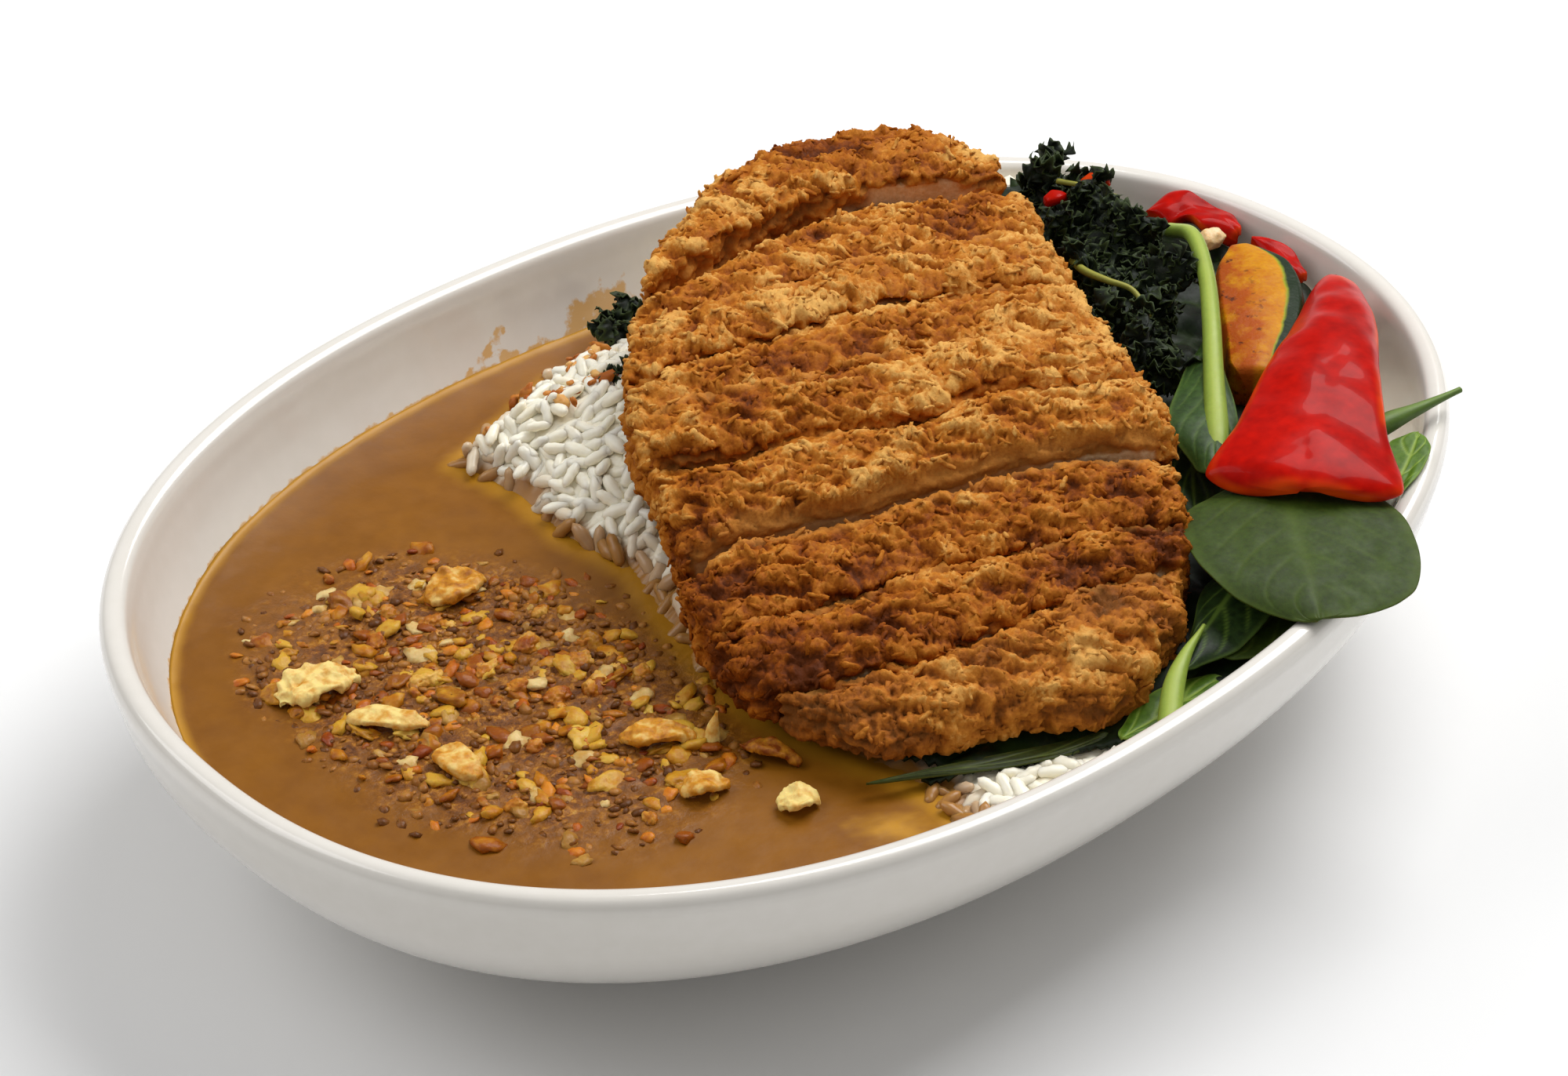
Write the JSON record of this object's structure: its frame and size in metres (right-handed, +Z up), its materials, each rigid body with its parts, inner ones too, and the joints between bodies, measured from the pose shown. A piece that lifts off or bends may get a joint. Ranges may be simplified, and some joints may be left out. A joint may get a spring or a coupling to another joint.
{
  "type": "bowl of pork katsu curry",
  "caption": "White oval bowl of curry with a sliced breaded cutlet on rice, a fried crumb topping, leafy greens, red pepper and pumpkin.",
  "frame": {"origin": "middle of the bowl's flat base, on the surface it stands on", "axes": "+X along the bowl's long axis towards the greens, +Z up"},
  "size_m": [0.27, 0.196, 0.0724],
  "materials": {
    "glaze": "gloss",
    "curry": "wet sauce",
    "rice": "cooked grains",
    "crust": "fried breadcrumb crust",
    "kale": "fried leaf",
    "spinach": "fresh leaf",
    "pepper": "wet skin",
    "pumpkin": "fried flesh",
    "onion": "wet",
    "fried_chip": "crisp fried"
  },
  "bodies": {
    "root": {"bowl": "glaze", "curry": "curry", "rice": "rice", "katsu_slice_1": "crust", "katsu_slice_2": "crust", "katsu_slice_3": "crust", "katsu_slice_4": "crust", "katsu_slice_5": "crust", "katsu_slice_6": "crust", "katsu_slice_7": "crust", "katsu_slice_8": "crust", "katsu_slice_9": "crust", "kale_heap": "kale", "kale_left": "kale", "spinach_big": "spinach", "spinach_tall": "spinach", "spinach_dark": "spinach", "spinach_under": "spinach", "spinach_wall": "spinach", "spinach_near": "spinach", "spinach_long": "spinach", "spinach_right": "spinach", "spinach_stem": "spinach", "pepper_front": "pepper", "pepper_back_1": "pepper", "pepper_back_2": "pepper", "pepper_back_3": "pepper", "pumpkin_wedge": "pumpkin", "onion_piece": "onion", "garlic_chip_pale": "fried_chip", "garlic_chip_yellow": "fried_chip", "onion_chip_orange": "fried_chip", "onion_chip_gold": "fried_chip", "garlic_chip_flat": "fried_chip", "onion_chip_small": "fried_chip", "onion_chip_brown": "fried_chip", "garlic_chip_lump": "fried_chip"}
  },
  "joints": []
}
